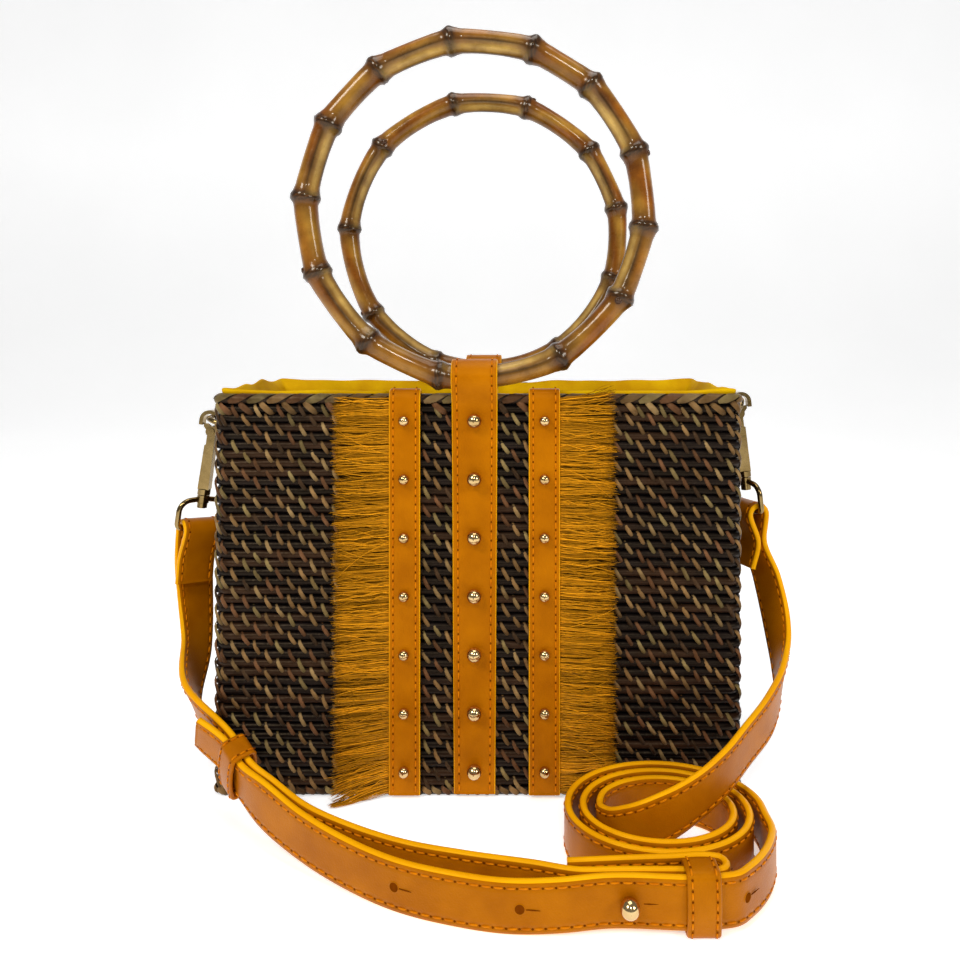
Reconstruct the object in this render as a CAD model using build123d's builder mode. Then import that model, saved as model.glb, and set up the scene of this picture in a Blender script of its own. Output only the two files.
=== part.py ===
from build123d import *

import os
from math import cos, pi, radians, sin, sqrt

# Basket box bag. Millimetres, +Z up, front towards -Y.
# The origin is the middle of the basket's base, on the surface it stands on.

os.makedirs("parts", exist_ok=True)

# ---- Driving dimensions ------------------------------------------------------

# Basket
basket_width = 250.0
basket_depth = 100.0
basket_height = 190.0
basket_corner = 6.0
wall = 4.0
floor_thickness = 4.0

# Lining
lining_thickness = 0.8
lining_stand_off = 3.8
lining_rise = 1.2

# Leather trim on the faces
leather = 1.8
front_strap_width = 21.0
strip_width = 14.8
trim_x = -1.5
strip_offset = 33.0
trim_hem = 2.0
strap_tail = 24.0
strip_tail = 20.0

# Fringes
fringe_tape = 1.0
fringe_thickness = 2.4
fringe_length = 26.0

# Studs and rivets
stud_count = 7
stud_pitch = 27.4
stud_first_drop = 11.5
centre_ball = 3.5
side_ball = 2.6
shank_radius = 1.2
shank_gap = 0.1
back_radius = 3.0
back_thickness = 1.0
seat_gap = 0.05
stud_base = 0.6
stud_bulge = 0.8
stud_height = 1.8

# Ring handles
ring_tube = 6.4
ring_outer_radius = 87.0
ring_above_rim = 1.8
ring_gap = 0.3

# Side tabs and D-rings
tab_width = 18.0
tab_drop = 20.0
tab_length = 17.5
d_wire = 1.3
d_inner_width = 20.0
d_reach = 17.5
d_near_corner = 2.5
d_far_corner = 7.0
d_lift = {"left": 17.0, "right": 58.0}
wire_gap = 0.3

# Snap hooks, measured up their own axis from the middle of the strap loop's bar
hook_y = -3.0
hook_lean = {"left": 8.0, "right": 6.0}
hook_top = 62.8
hook_thickness = 4.6
claw_band = 2.0
claw_inner = 3.2
claw_offset = 1.8
claw_straight = 3.0
wire_below_claw = 0.6
pin_drop = 11.2
pin_radius = 1.0
pin_head_radius = 1.9
pin_head = 0.5
running_gap = 0.05
gate_thickness = 2.0
gate_side_gap = 0.15
gate_hub = 2.1
gate_tuck = 0.8
gate_tip = 1.7
body_top_half = 2.4
body_foot_half = 2.9
collar_radius = 3.3
collar_bottom = 17.8
collar_height = 2.8
stem_radius = 1.5
knob_radius = 2.6
knob_bottom = 10.6
knob_height = 2.5
hub_radius = 3.1
hub_height = 4.0
hub_gap = 0.2
loop_wire = 1.4
loop_side_gap = 0.5
loop_shoulder = 14.0
loop_shoulder_radius = 6.0
loop_top_radius = 3.0
loop_turn = {"left": 45.0, "right": 72.0}

# Shoulder strap
strap_width = 20.0
strap_thickness = 3.2
layer_gap = 0.4
strap_loop_radius = 5.0
strap_tab_length = 27.0
tab_swing = {"left": 1.5, "right": 5.0}
leg_meet = 14.0
clasp_steps = 8
clasp_start = 205.0
clasp_sweep = 230.0

# Keepers and the fastening stud
keeper_leather = 1.8
keeper_width = 12.5
keeper_gap = 0.3
keeper_clear = 2.0
fold_radius = 3.9
fold_steps = 6
fastening_ball = 3.65
fastening_neck = 1.5
fastening_hole = 1.9
fastening_screw = 0.8
fastening_head = 3.2

# ---- Values worked out from them ---------------------------------------------

half_width = basket_width / 2
loop_inner_width = strap_width + 2 * loop_side_gap
half_depth = basket_depth / 2
inner_corner = basket_corner - wall
strap_half = strap_width / 2

# Each ring is a torus, so across the strap its middle line rises a little.
ring_major = ring_outer_radius - ring_tube
ring_sag = (ring_major - sqrt(ring_major**2 - (front_strap_width / 2) ** 2)) / 2
ring_axis_z = basket_height + ring_above_rim + ring_tube + ring_sag
ring_centre_z = ring_axis_z - ring_sag + ring_major
ring_y = half_depth - wall / 2
loop_inner = ring_tube + ring_sag + ring_gap
loop_outer = loop_inner + leather

top_stud_z = basket_height - stud_first_drop
stud_heights = [top_stud_z - stud_pitch * row for row in range(stud_count)]
left_strip_x = trim_x - strip_offset
right_strip_x = trim_x + strip_offset

tab_loop_outer = d_wire + wire_gap + leather
tab_pivot_x = half_width + tab_loop_outer
tab_pivot_z = basket_height - tab_drop
tab_rivet_z = tab_pivot_z - tab_length / 2 - d_wire

claw_outer = claw_inner + claw_band
claw_centre = hook_top - claw_outer
wire_w = hook_top - claw_band - wire_below_claw - d_wire
pin_w = hook_top - pin_drop


# ---- Small helpers -----------------------------------------------------------


def save(piece, label):
    """Label a finished piece and write it to its own file."""
    piece.part.label = label
    export_step(piece.part, f"parts/{label}.step")


def stud_profile(plane, ball, grip):
    """Half outline of a ball-headed rivet; x runs outwards from the seat."""
    base = stud_base * ball
    tip = stud_height * ball
    with BuildSketch(plane) as outline:
        with BuildLine():
            Polyline(
                (tip, 0),
                (-grip - back_thickness, 0),
                (-grip - back_thickness, back_radius),
                (-grip - seat_gap, back_radius),
                (-grip - seat_gap, shank_radius),
                (0, shank_radius),
                (0, base),
            )
            ThreePointArc((0, base), (stud_bulge * ball, ball), (tip, 0))
        make_face()
    return outline.sketch


def ring_of_wire(plane, corners, radii, wire):
    """A closed ring of round wire through rounded corners."""
    with BuildPart() as ring:
        with BuildLine(plane) as path:
            FilletPolyline(*corners, radius=radii, close=True)
        start = path.line @ 0
        with BuildSketch(Plane(start, z_dir=path.line % 0)):
            Circle(wire)
        sweep(path=path.line)
    return ring


# ---- Basket ------------------------------------------------------------------

stud_columns = [trim_x, left_strip_x, right_strip_x]

with BuildPart() as basket_body:
    with BuildSketch():
        RectangleRounded(basket_width, basket_depth, basket_corner)
    extrude(amount=basket_height)
    with BuildSketch(Plane.XY.offset(floor_thickness)):
        RectangleRounded(basket_width - 2 * wall, basket_depth - 2 * wall, inner_corner)
    extrude(amount=basket_height - floor_thickness, mode=Mode.SUBTRACT)
    with BuildSketch(Plane.XZ.offset(half_depth)):
        for column in stud_columns:
            with Locations([(column, height) for height in stud_heights]):
                Circle(shank_radius + shank_gap)
    extrude(amount=-wall, mode=Mode.SUBTRACT)
    with BuildSketch(Plane.XZ.offset(-half_depth)):
        with Locations((trim_x, top_stud_z)):
            Circle(shank_radius + shank_gap)
    extrude(amount=wall, mode=Mode.SUBTRACT)
    with BuildSketch(Plane.YZ.offset(-half_width)):
        with Locations((0, tab_rivet_z)):
            Circle(shank_radius + shank_gap)
    extrude(amount=basket_width, mode=Mode.SUBTRACT)
save(basket_body, "basket_body")

lining_inset = wall + lining_stand_off
lining_wide = basket_width - 2 * lining_inset
lining_deep = basket_depth - 2 * lining_inset
lining_corner = inner_corner / 2
with BuildPart() as lining:
    with BuildSketch(Plane.XY.offset(floor_thickness)):
        RectangleRounded(lining_wide, lining_deep, lining_corner)
    extrude(amount=basket_height - floor_thickness + lining_rise)
    with BuildSketch(Plane.XY.offset(floor_thickness + lining_thickness)):
        RectangleRounded(
            lining_wide - 2 * lining_thickness,
            lining_deep - 2 * lining_thickness,
            lining_corner - lining_thickness,
        )
    extrude(amount=basket_height, mode=Mode.SUBTRACT)
save(lining, "lining")

# ---- Straps that hold the rings ----------------------------------------------


def handle_strap(side, label, stud_rows):
    """A strap down one face: round its ring, over the rim and inside the wall."""
    face_y = side * half_depth
    axis_y = side * ring_y
    middle_y = side * (half_depth - wall / 2)
    outside_y = side * (half_depth + leather / 2)
    inside_y = side * (half_depth - wall - leather / 2)
    cap_height = ring_above_rim / 2
    cap_z = basket_height - cap_height / 2
    tail_z = basket_height - strap_tail
    with BuildPart() as strap:
        with BuildSketch(Plane.YZ.offset(trim_x)):
            with Locations((axis_y, ring_axis_z)):
                Circle(loop_outer)
            with Locations((middle_y, cap_z)):
                Rectangle(wall + 2 * leather, cap_height)
            make_hull()
            with Locations((outside_y, (trim_hem + basket_height) / 2)):
                Rectangle(leather, basket_height - trim_hem)
            with Locations((inside_y, (tail_z + basket_height) / 2)):
                Rectangle(leather, strap_tail)
        extrude(amount=front_strap_width / 2, both=True)
        with BuildSketch(Plane.YZ.offset(trim_x)):
            with Locations((axis_y, ring_axis_z)):
                Circle(loop_inner)
            with Locations((middle_y, cap_z)):
                Rectangle(wall, cap_height)
            make_hull()
        extrude(amount=front_strap_width / 2, both=True, mode=Mode.SUBTRACT)
        with BuildSketch(Plane.XZ.offset(-face_y)):
            with Locations([(trim_x, height) for height in stud_rows]):
                Circle(shank_radius + shank_gap)
        extrude(amount=wall + 2 * leather, both=True, mode=Mode.SUBTRACT)
    save(strap, label)
    return strap


front_strap = handle_strap(-1, "front_strap", stud_heights)
back_strap = handle_strap(1, "back_strap", [top_stud_z])

# ---- Side strips and fringes -------------------------------------------------


def trim_strip(x, label):
    """A narrow strip over a fringe's tape, folded over the rim."""
    front_y = -half_depth - fringe_tape - leather / 2
    back_y = -half_depth + wall + leather / 2
    with BuildPart() as strip:
        with BuildSketch(Plane.YZ.offset(x)):
            with Locations((front_y, (trim_hem + basket_height) / 2)):
                Rectangle(leather, basket_height - trim_hem)
            with Locations((back_y, basket_height - strip_tail / 2)):
                Rectangle(leather, strip_tail)
            with Locations(((front_y + back_y) / 2, basket_height + leather / 2)):
                Rectangle(back_y - front_y + leather, leather)
        extrude(amount=strip_width / 2, both=True)
        with BuildSketch(Plane.XZ.offset(half_depth)):
            with Locations([(x, height) for height in stud_heights]):
                Circle(shank_radius + shank_gap)
        extrude(amount=2 * (leather + wall), both=True, mode=Mode.SUBTRACT)
    save(strip, label)
    return strip


def fringe(x, side, label):
    """A sewn tape under the strip with its threads as one plain slab."""
    inner_edge = x - side * strip_width / 2
    strip_edge = x + side * strip_width / 2
    outer_edge = strip_edge + side * fringe_length
    top = basket_height - leather / 2
    with BuildPart() as cloth:
        with BuildSketch(Plane.XY.offset(trim_hem)):
            with BuildLine():
                Polyline(
                    (inner_edge, -half_depth),
                    (outer_edge, -half_depth),
                    (outer_edge, -half_depth - fringe_thickness),
                    (strip_edge + side * seat_gap, -half_depth - fringe_thickness),
                    (strip_edge + side * seat_gap, -half_depth - fringe_tape),
                    (inner_edge, -half_depth - fringe_tape),
                    close=True,
                )
            make_face()
        extrude(amount=top - trim_hem)
        with BuildSketch(Plane.XZ.offset(half_depth)):
            with Locations([(x, height) for height in stud_heights]):
                Circle(shank_radius + shank_gap)
        extrude(amount=fringe_thickness, mode=Mode.SUBTRACT)
    save(cloth, label)
    return cloth


left_strip = trim_strip(left_strip_x, "left_strip")
right_strip = trim_strip(right_strip_x, "right_strip")
left_fringe = fringe(left_strip_x, -1, "left_fringe")
right_fringe = fringe(right_strip_x, 1, "right_fringe")

# ---- Studs through the faces -------------------------------------------------


def stud_column(x, ball, seat, label):
    """One column of ball studs; the top one also grips the leather inside."""
    with BuildPart() as studs:
        for height in stud_heights:
            inside = leather if height == top_stud_z else 0
            grip = seat + wall + inside
            middle = (x, -half_depth - seat, height)
            profile = stud_profile(Plane(middle, x_dir=(0, -1, 0), z_dir=(1, 0, 0)), ball, grip)
            revolve(profile, axis=Axis(middle, (0, -1, 0)))
    save(studs, label)
    return studs


centre_studs = stud_column(trim_x, centre_ball, leather, "centre_studs")
left_studs = stud_column(left_strip_x, side_ball, leather + fringe_tape, "left_studs")
right_studs = stud_column(right_strip_x, side_ball, leather + fringe_tape, "right_studs")

with BuildPart() as back_rivet:
    back_seat = (trim_x, half_depth + leather, top_stud_z)
    back_grip = wall + 2 * leather
    back_plane = Plane(back_seat, x_dir=(0, 1, 0), z_dir=(1, 0, 0))
    revolve(stud_profile(back_plane, side_ball, back_grip), axis=Axis(back_seat, (0, 1, 0)))
save(back_rivet, "back_rivet")

# ---- Ring handles ------------------------------------------------------------


def ring_handle(side, label):
    """A round handle: a plain torus standing over one face of the basket."""
    with BuildPart() as ring:
        with BuildSketch(Plane.YZ.offset(trim_x)):
            with Locations((side * ring_y, ring_centre_z - ring_major)):
                Circle(ring_tube)
        revolve(axis=Axis((trim_x, side * ring_y, ring_centre_z), (0, 1, 0)))
    save(ring, label)
    return ring


front_ring = ring_handle(-1, "front_ring")
back_ring = ring_handle(1, "back_ring")

# ---- Side tabs, D-rings, hooks -----------------------------------------------


def side_hardware(name, side):
    """Tab, rivet, D-ring, snap hook, gate, pin and strap loop of one side."""
    out_x = side * half_width
    pivot_x = side * tab_pivot_x
    tab_low = tab_pivot_z - tab_length
    with BuildPart() as tab:
        with BuildSketch(Plane.XZ):
            with Locations((out_x + side * leather, tab_pivot_z - tab_length / 2)):
                Rectangle(2 * leather, tab_length)
            with Locations((pivot_x, tab_pivot_z)):
                Circle(tab_loop_outer)
                Circle(d_wire + wire_gap, mode=Mode.SUBTRACT)
        extrude(amount=tab_width / 2, both=True)
        with BuildSketch(Plane.YZ.offset(out_x)):
            with Locations((0, tab_rivet_z)):
                Circle(shank_radius + shank_gap)
        extrude(amount=2 * tab_loop_outer, both=True, mode=Mode.SUBTRACT)
    save(tab, f"{name}_tab")

    seat = (out_x + side * 2 * leather, 0, tab_rivet_z)
    with BuildPart() as rivet:
        seat_plane = Plane(seat, x_dir=(side, 0, 0), z_dir=(0, 1, 0))
        profile = stud_profile(seat_plane, side_ball, wall + 2 * leather)
        revolve(profile, axis=Axis(seat, (side, 0, 0)))
    save(rivet, f"{name}_tab_rivet")

    lift = radians(d_lift[name])
    reach = Vector(side * cos(lift), 0, sin(lift))
    pivot = Vector(pivot_x, 0, tab_pivot_z)
    d_half = d_inner_width / 2 + d_wire
    d_plane = Plane(pivot, x_dir=reach, z_dir=reach.cross(Vector(0, 1, 0)))
    d_corners = [(0, -d_half), (0, d_half), (d_reach, d_half), (d_reach, -d_half)]
    d_radii = [d_near_corner, d_near_corner, d_far_corner, d_far_corner]
    d_ring = ring_of_wire(d_plane, d_corners, d_radii, d_wire)
    save(d_ring, f"{name}_d_ring")

    lean = radians(hook_lean[name])
    up = Vector(-side * sin(lean), 0, cos(lean))
    out = Vector(side * cos(lean), 0, sin(lean))
    wire = pivot + reach * d_reach + Vector(0, hook_y, 0)
    foot = wire - out * claw_offset - up * wire_w
    side_plane = Plane(foot, x_dir=out, z_dir=(0, -side, 0))
    stem_plane = Plane(foot, x_dir=out, z_dir=up)
    stem_axis = Axis(foot, up)
    collar_top = collar_bottom + collar_height
    pin_centre = (0, pin_w)
    tip_low = claw_centre - claw_straight
    with BuildPart() as hook:
        with BuildSketch(side_plane):
            with BuildLine():
                Polyline(
                    (-body_foot_half, collar_top - seat_gap),
                    (body_foot_half, collar_top - seat_gap),
                    (body_top_half, pin_w),
                    (-body_top_half, pin_w),
                    close=True,
                )
            make_face()
            with Locations(pin_centre):
                Circle(body_foot_half)
            with Locations((claw_offset, claw_centre)):
                Circle(claw_outer)
            spine_x = claw_offset - claw_inner - claw_band / 2
            with Locations((spine_x, (pin_w + claw_centre) / 2)):
                Rectangle(claw_band, claw_centre - pin_w)
            tip_x = claw_offset + claw_inner + claw_band / 2
            with Locations((tip_x, (claw_centre + tip_low) / 2)):
                Rectangle(claw_band, claw_straight)
            with Locations((claw_offset, claw_centre)):
                Circle(claw_inner, mode=Mode.SUBTRACT)
            mouth_low = pin_w + gate_hub
            mouth_high = claw_centre
            mouth_z = (mouth_low + mouth_high) / 2
            with Locations((claw_offset, mouth_z)):
                Rectangle(2 * claw_inner, mouth_high - mouth_low, mode=Mode.SUBTRACT)
            with Locations((claw_offset + claw_outer, tip_low - claw_outer)):
                Rectangle(2 * claw_outer, 2 * claw_outer, mode=Mode.SUBTRACT)
            with Locations(pin_centre):
                Circle(body_foot_half)
            with Locations(pin_centre):
                Circle(pin_radius + running_gap, mode=Mode.SUBTRACT)
        extrude(amount=hook_thickness / 2, both=True)
        slot_radius = body_foot_half + wire_gap
        with BuildSketch(side_plane):
            with Locations(pin_centre):
                Circle(gate_hub + wire_gap)
            with Locations((0, pin_w + gate_hub)):
                Rectangle(2 * gate_hub, 2 * gate_hub)
            with Locations((slot_radius, pin_w + gate_hub / 2)):
                Rectangle(2 * slot_radius, 2 * gate_hub)
        extrude(amount=gate_thickness / 2 + gate_side_gap, both=True, mode=Mode.SUBTRACT)
        with BuildSketch(side_plane):
            with BuildLine():
                Polyline(
                    (0, knob_bottom),
                    (knob_radius, knob_bottom),
                    (knob_radius, knob_bottom + knob_height),
                    (stem_radius, knob_bottom + knob_height),
                    (stem_radius, collar_bottom),
                    (collar_radius, collar_bottom),
                    (collar_radius, collar_top),
                    (0, collar_top),
                    close=True,
                )
            make_face()
        revolve(axis=stem_axis)
    save(hook, f"{name}_hook")

    tip_outer = claw_offset + claw_inner - wire_gap
    tip_inner = tip_outer - gate_tip
    tip_high = tip_low + gate_tuck
    with BuildPart() as gate:
        with BuildSketch(side_plane):
            with Locations(pin_centre):
                Circle(gate_hub)
            with BuildLine():
                Polyline(
                    (gate_hub * sin(pi / 4), pin_w - gate_hub * cos(pi / 4)),
                    (tip_outer, tip_low - gate_tuck),
                    (tip_outer, tip_high),
                    (tip_inner, tip_high),
                    (0, pin_w + gate_hub),
                    close=True,
                )
            make_face()
            with Locations(pin_centre):
                Circle(pin_radius + running_gap, mode=Mode.SUBTRACT)
        extrude(amount=gate_thickness / 2, both=True)
    save(gate, f"{name}_gate")

    with BuildPart() as pin:
        with BuildSketch(side_plane):
            with Locations(pin_centre):
                Circle(pin_radius)
        extrude(amount=hook_thickness / 2 + pin_head, both=True)
        for direction in (-1, 1):
            head_low = direction * (hook_thickness / 2 + seat_gap)
            with BuildSketch(side_plane.offset(head_low)):
                with Locations(pin_centre):
                    Circle(pin_head_radius)
            extrude(amount=direction * pin_head)
    save(pin, f"{name}_gate_pin")

    turn = radians(loop_turn[name])
    level = Vector(side * cos(turn), -sin(turn), 0)
    bar = (level - up * level.dot(up)).normalized()
    loop_plane = Plane(foot, x_dir=bar, z_dir=bar.cross(up))
    loop_half = loop_inner_width / 2 + loop_wire
    hub_low = knob_bottom + knob_height + hub_gap
    hub_middle = hub_low + hub_height / 2
    loop_corners = [
        (-loop_half, 0),
        (loop_half, 0),
        (loop_half, loop_shoulder),
        (0, hub_middle),
        (-loop_half, loop_shoulder),
    ]
    loop_radii = [2 * loop_wire, 2 * loop_wire, loop_shoulder_radius, loop_top_radius, loop_shoulder_radius]
    loop_ring = ring_of_wire(loop_plane, loop_corners, loop_radii, loop_wire)
    with BuildPart() as loop:
        add(loop_ring.part)
        with BuildSketch(stem_plane.offset(hub_low)):
            Circle(hub_radius)
        extrude(amount=hub_height)
        with BuildSketch(stem_plane.offset(hub_low - hub_radius)):
            Circle(stem_radius + 2 * running_gap)
        extrude(amount=hub_height + 2 * hub_radius, mode=Mode.SUBTRACT)
        with BuildSketch(stem_plane.offset(hub_low - hub_gap - knob_height)):
            Circle(knob_radius + hub_gap)
        extrude(amount=knob_height + hub_gap, mode=Mode.SUBTRACT)
    save(loop, f"{name}_strap_loop")
    return foot, up, bar


left_foot, left_up, left_bar = side_hardware("left", -1)
right_foot, right_up, right_bar = side_hardware("right", 1)

# ---- Shoulder strap ----------------------------------------------------------


def clasp_stations(foot, up, bar, side, swing):
    """The strap's end: its sewn-down tab, round the loop's bar and down again."""
    away = bar.cross(up) * side
    away = away if away.X * side > 0 else away * -1
    inner_radius = strap_loop_radius - strap_thickness / 2
    centre = foot - up * (inner_radius - loop_wire - wire_gap)
    layer = (strap_thickness + layer_gap) / 2
    found = [
        (centre - away * (layer + swing) - up * strap_tab_length, bar),
        (centre - away * layer - up * leg_meet, bar),
    ]
    for step in range(clasp_steps + 1):
        angle = radians(clasp_start - clasp_sweep * step / clasp_steps)
        spot = centre + (away * cos(angle) + up * sin(angle)) * strap_loop_radius
        found.append((spot, bar))
    found.append((centre + away * layer - up * leg_meet, bar))
    return found


def edge_station(edge, across):
    """A station given by its near or upper edge and the way across the strap."""
    across = Vector(across).normalized()
    return (Vector(edge) - across * strap_half, across)


def ribbon(stations):
    """A flat strap through a list of (middle, way across) stations."""
    middles = [spot for spot, across in stations]
    last = len(stations) - 1
    with BuildPart() as strap:
        for index, (spot, across) in enumerate(stations):
            ahead = middles[min(index + 1, last)]
            behind = middles[max(index - 1, 0)]
            along = (ahead - behind).normalized()
            across = (across - along * across.dot(along)).normalized()
            with BuildSketch(Plane(spot, x_dir=across, z_dir=along)):
                Rectangle(strap_width, strap_thickness)
        loft(ruled=True)
    return strap


upright = Vector(0, 0, 1)
layer_pitch = strap_thickness + layer_gap
floor_z = strap_half
keeper_z = strap_half + keeper_leather + keeper_gap

# Keeper on the floor, near the coil: its middle, between the two layers.
floor_keeper = Vector(half_width - 38.5, -half_depth - 83.8, keeper_z)
tail_y = floor_keeper.Y - layer_pitch / 2
inner_y = floor_keeper.Y + layer_pitch / 2

# Keeper on the rising stretch at the left.
rising_keeper = Vector(-half_width + 19.0, -half_depth - 22.0, 26.2)
rising_along = Vector(30.5, -29.0, -15.1).normalized()
rising_across = Vector(-0.05, -0.15, 0.98)
rising_across = (rising_across - rising_along * rising_across.dot(rising_along)).normalized()
rising_out = rising_across.cross(rising_along)
rising_out = rising_out if rising_out.Y < 0 else rising_out * -1
keeper_reach = rising_along * (keeper_width / 2 + keeper_clear)

left_x = -half_width
front_y = -half_depth
inner_seat = rising_keeper - rising_out * (layer_pitch / 2)
tail_seat = rising_keeper + rising_out * (layer_pitch / 2)

short_stations = clasp_stations(left_foot, left_up, left_bar, -1, tab_swing["left"])
short_stations += [
    edge_station((left_x - 36.2, front_y + 42, 86), (-0.66, -0.72, 0.2)),
    edge_station((left_x - 28.0, front_y + 29, 66.5), (-0.5, -0.65, 0.57)),
    edge_station((left_x - 16.3, front_y + 3.6, 54.0), (-0.24, -0.4, 0.88)),
    (inner_seat - keeper_reach, rising_across),
    (inner_seat + keeper_reach, rising_across),
    (Vector(left_x + 37, front_y - 33.5, 18.6), upright),
    (Vector(left_x + 56, front_y - 46, 14.2), upright),
    (Vector(left_x + 77, front_y - 55, 11.3), upright),
    (Vector(left_x + 99, front_y - 63, floor_z), upright),
    (Vector(left_x + 125, front_y - 70, floor_z), upright),
    (Vector(left_x + 150, front_y - 76, floor_z + 0.6), upright),
    (Vector(left_x + 168, inner_y + 0.6, keeper_z - 0.6), upright),
    (Vector(left_x + 178, inner_y, keeper_z), upright),
    (Vector(floor_keeper.X + 3, inner_y, keeper_z), upright),
]
fold_middle = Vector(floor_keeper.X + 6.8, inner_y + fold_radius, keeper_z)
for step in range(fold_steps + 1):
    angle = radians(-90 + 180 * step / fold_steps)
    spot = fold_middle + Vector(cos(angle), sin(angle), 0) * fold_radius
    short_stations.append((spot, upright))
fold_back_y = inner_y + 2 * fold_radius
short_stations += [
    (Vector(floor_keeper.X - 10, fold_back_y, keeper_z - 0.4), upright),
    (Vector(floor_keeper.X - 48.5, fold_back_y - 0.6, floor_z + 0.6), upright),
]

# The coil: a flattened spiral that tightens by one pitch each turn.
coil_x = half_width - 45
coil_y = -half_depth - 39
coil_wide = 44.5
coil_deep = 36.0
coil_wide_pitch = 6.5
coil_deep_pitch = 6.0
coil_first = 80
coil_last = 960
coil_step = 20


def coil_spot(angle):
    """A point on the coil's middle line, counted from the front."""
    turns = angle / 360
    wide = coil_wide - coil_wide_pitch * turns
    deep = coil_deep - coil_deep_pitch * turns
    bend = radians(angle)
    return Vector(coil_x + wide * sin(bend), coil_y - deep * cos(bend), floor_z)


right_x = half_width
long_stations = clasp_stations(right_foot, right_up, right_bar, 1, tab_swing["right"])
long_stations += [
    edge_station((right_x + 29.0, front_y + 31, 93), (0.42, -0.88, 0.2)),
    edge_station((right_x + 30.5, front_y + 23, 77), (0.38, -0.75, 0.55)),
    edge_station((right_x + 27.0, front_y + 14, 66.5), (0.2, -0.55, 0.8)),
    edge_station((right_x + 20.0, front_y + 2, 60), (0, -0.38, 0.92)),
    edge_station((right_x + 8.7, front_y - 12, 53.8), (-0.15, -0.22, 0.96)),
    edge_station((right_x - 6.3, front_y - 28, 48), (-0.1, -0.15, 0.98)),
    edge_station((right_x - 18.3, front_y - 40, 43.5), (-0.05, -0.1, 0.99)),
    edge_station((right_x - 31, front_y - 48, 38.2), (0, -0.05, 1)),
    edge_station((right_x - 44.3, front_y - 52, 33), (0, 0, 1)),
    edge_station((right_x - 58, front_y - 51, 26.5), (0, 0, 1)),
    edge_station((right_x - 66.5, front_y - 46, 22), (0, 0, 1)),
    edge_station((right_x - 70.8, front_y - 38.5, 20), (0, 0, 1)),
]
for angle in range(coil_last, coil_first - 1, -coil_step):
    long_stations.append((coil_spot(angle), upright))
long_stations += [
    (Vector(right_x - 2.8, front_y - 53.5, floor_z), upright),
    (Vector(right_x - 6.4, front_y - 62.5, floor_z + 0.3), upright),
    (Vector(right_x - 12.2, front_y - 71.5, floor_z + 0.9), upright),
    (Vector(right_x - 19, front_y - 79, keeper_z - 0.6), upright),
    (Vector(right_x - 25.5, front_y - 84.4, keeper_z), upright),
    (Vector(floor_keeper.X + 7, tail_y, keeper_z), upright),
    (Vector(left_x + 175, tail_y, keeper_z), upright),
    (Vector(left_x + 160, tail_y - 0.8, floor_z + 1.2), upright),
    (Vector(left_x + 141, front_y - 85.2, floor_z), upright),
    (Vector(left_x + 119, front_y - 81, floor_z), upright),
    (Vector(left_x + 98, front_y - 74, floor_z), upright),
    (Vector(left_x + 76, front_y - 63.5, 11.5), upright),
    (Vector(left_x + 54, front_y - 51, 15), upright),
    (Vector(left_x + 35, front_y - 38, 19.8), upright),
    (tail_seat + keeper_reach, rising_across),
    (tail_seat - keeper_reach, rising_across),
    (Vector(left_x - 3.0, front_y - 11.5, 36.5), Vector(-0.16, -0.28, 0.93)),
]

stud_spot = Vector(floor_keeper.X - 27, tail_y, keeper_z + 0.5)
inner_face = inner_y - strap_thickness / 2
outer_face = tail_y - strap_thickness / 2
holes = [
    (stud_spot, Vector(0, -1, 0)),
    (Vector(left_x + 145, front_y - 85.4, floor_z + 1.2), Vector(-0.06, -1, 0)),
    (Vector(left_x + 98, front_y - 74, floor_z + 1.2), Vector(-0.4, -0.9, 0)),
    (Vector(right_x - 22.5, front_y - 82, keeper_z), Vector(0.62, -0.78, 0)),
]

short_ribbon = ribbon(short_stations)
with BuildPart() as short_strap:
    add(short_ribbon.part)
    with BuildSketch(Plane(stud_spot, z_dir=(0, -1, 0))):
        Circle(fastening_screw + shank_gap)
    extrude(amount=-(layer_pitch + strap_thickness), mode=Mode.SUBTRACT)
save(short_strap, "short_strap")

long_ribbon = ribbon(long_stations)
with BuildPart() as long_strap:
    add(long_ribbon.part)
    for spot, facing in holes:
        with BuildSketch(Plane(spot, z_dir=facing)):
            Circle(fastening_hole)
        extrude(amount=strap_thickness, both=True, mode=Mode.SUBTRACT)
save(long_strap, "long_strap")


def keeper(middle, along, across, label):
    """A leather band round both layers of the strap."""
    inner_long = strap_width + 2 * keeper_gap
    inner_thick = 2 * strap_thickness + layer_gap + 2 * keeper_gap
    with BuildPart() as band:
        with BuildSketch(Plane(middle, x_dir=across, z_dir=along)):
            Rectangle(inner_long + 2 * keeper_leather, inner_thick + 2 * keeper_leather)
            Rectangle(inner_long, inner_thick, mode=Mode.SUBTRACT)
        extrude(amount=keeper_width / 2, both=True)
    save(band, label)
    return band


keeper(floor_keeper, Vector(1, 0, 0), upright, "floor_keeper")
keeper(rising_keeper, rising_along, rising_across, "rising_keeper")

# The stud stands on the inner layer and comes out through a hole in the tail.
stud_seat = Vector(stud_spot.X, outer_face - seat_gap, stud_spot.Z)
neck_length = inner_face - seat_gap - stud_seat.Y
fastening_tip = stud_height * fastening_ball
fastening_base = stud_base * fastening_ball
with BuildPart() as fastening_stud:
    with BuildSketch(Plane(stud_seat, x_dir=(0, -1, 0), z_dir=(1, 0, 0))):
        with BuildLine():
            Polyline(
                (fastening_tip, 0),
                (-neck_length, 0),
                (-neck_length, fastening_neck),
                (0, fastening_neck),
                (0, fastening_base),
            )
            ThreePointArc(
                (0, fastening_base),
                (stud_bulge * fastening_ball, fastening_ball),
                (fastening_tip, 0),
            )
        make_face()
    revolve(axis=Axis(stud_seat, (0, -1, 0)))
    with BuildSketch(Plane(stud_seat, z_dir=(0, 1, 0)).offset(neck_length + seat_gap)):
        Circle(fastening_screw + seat_gap)
    extrude(amount=-strap_thickness, mode=Mode.SUBTRACT)
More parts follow.
